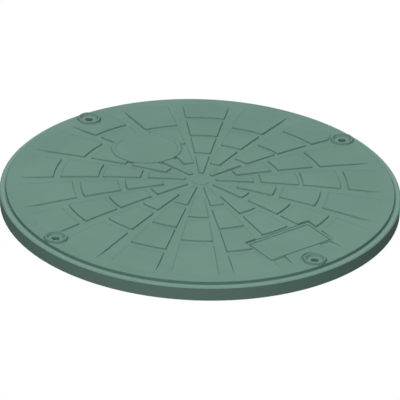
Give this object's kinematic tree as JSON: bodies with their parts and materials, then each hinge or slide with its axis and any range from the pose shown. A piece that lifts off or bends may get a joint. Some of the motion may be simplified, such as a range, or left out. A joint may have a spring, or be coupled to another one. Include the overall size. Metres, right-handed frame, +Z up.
{
  "type": "manhole cover",
  "caption": "Round domed bolt-down manhole cover of moulded plastic, with a cobble relief, a ribbed underside, a seal ring and sunk lock screws.",
  "frame": {"origin": "on the lid's axis, at the height of the skirt's bottom edge", "axes": "+Z up, out of the domed face; the screws lie at 45, 135, 225 and 315 degrees from +X, the round medallion on the 135 degree line and the name field on the 315 degree line"},
  "size_m": [0.6999, 0.7, 0.0493],
  "materials": {
    "green_plastic": "fine grained, grey-green",
    "black_rubber": "matt",
    "sleeve_steel": "turned, satin",
    "dark_steel": "dark zinc coating, satin"
  },
  "bodies": {
    "lid": {"cover": "green_plastic", "gasket": "black_rubber", "compression_sleeves": "sleeve_steel"},
    "washer_1": {"sealing_washer_1": "black_rubber"},
    "screw_1": {"lock_screw_1": "dark_steel"},
    "washer_2": {"sealing_washer_2": "black_rubber"},
    "screw_2": {"lock_screw_2": "dark_steel"},
    "washer_3": {"sealing_washer_3": "black_rubber"},
    "screw_3": {"lock_screw_3": "dark_steel"},
    "washer_4": {"sealing_washer_4": "black_rubber"},
    "screw_4": {"lock_screw_4": "dark_steel"}
  },
  "joints": [
    {"name": "screw_1_lift", "type": "slide", "parent": "lid", "child": "washer_1", "axis": [0, 0, 1], "range_m": [0, 0.0075]},
    {"name": "screw_1_turn", "type": "hinge", "parent": "washer_1", "child": "screw_1", "pos_m": [0.22465, 0.22465, 0.0215], "axis": [0, 0, 1], "range_deg": [0, 2160]},
    {"name": "screw_2_lift", "type": "slide", "parent": "lid", "child": "washer_2", "axis": [0, 0, 1], "range_m": [0, 0.0075]},
    {"name": "screw_2_turn", "type": "hinge", "parent": "washer_2", "child": "screw_2", "pos_m": [-0.22465, 0.22465, 0.0215], "axis": [0, 0, 1], "range_deg": [0, 2160]},
    {"name": "screw_3_lift", "type": "slide", "parent": "lid", "child": "washer_3", "axis": [0, 0, 1], "range_m": [0, 0.0075]},
    {"name": "screw_3_turn", "type": "hinge", "parent": "washer_3", "child": "screw_3", "pos_m": [-0.22465, -0.22465, 0.0215], "axis": [0, 0, 1], "range_deg": [0, 2160]},
    {"name": "screw_4_lift", "type": "slide", "parent": "lid", "child": "washer_4", "axis": [0, 0, 1], "range_m": [0, 0.0075]},
    {"name": "screw_4_turn", "type": "hinge", "parent": "washer_4", "child": "screw_4", "pos_m": [0.22465, -0.22465, 0.0215], "axis": [0, 0, 1], "range_deg": [0, 2160]}
  ],
  "couplings": [
    {"joint": "screw_1_lift", "follows": "screw_1_turn", "m_per_rad": 0.00019894},
    {"joint": "screw_2_lift", "follows": "screw_2_turn", "m_per_rad": 0.00019894},
    {"joint": "screw_3_lift", "follows": "screw_3_turn", "m_per_rad": 0.00019894},
    {"joint": "screw_4_lift", "follows": "screw_4_turn", "m_per_rad": 0.00019894}
  ]
}
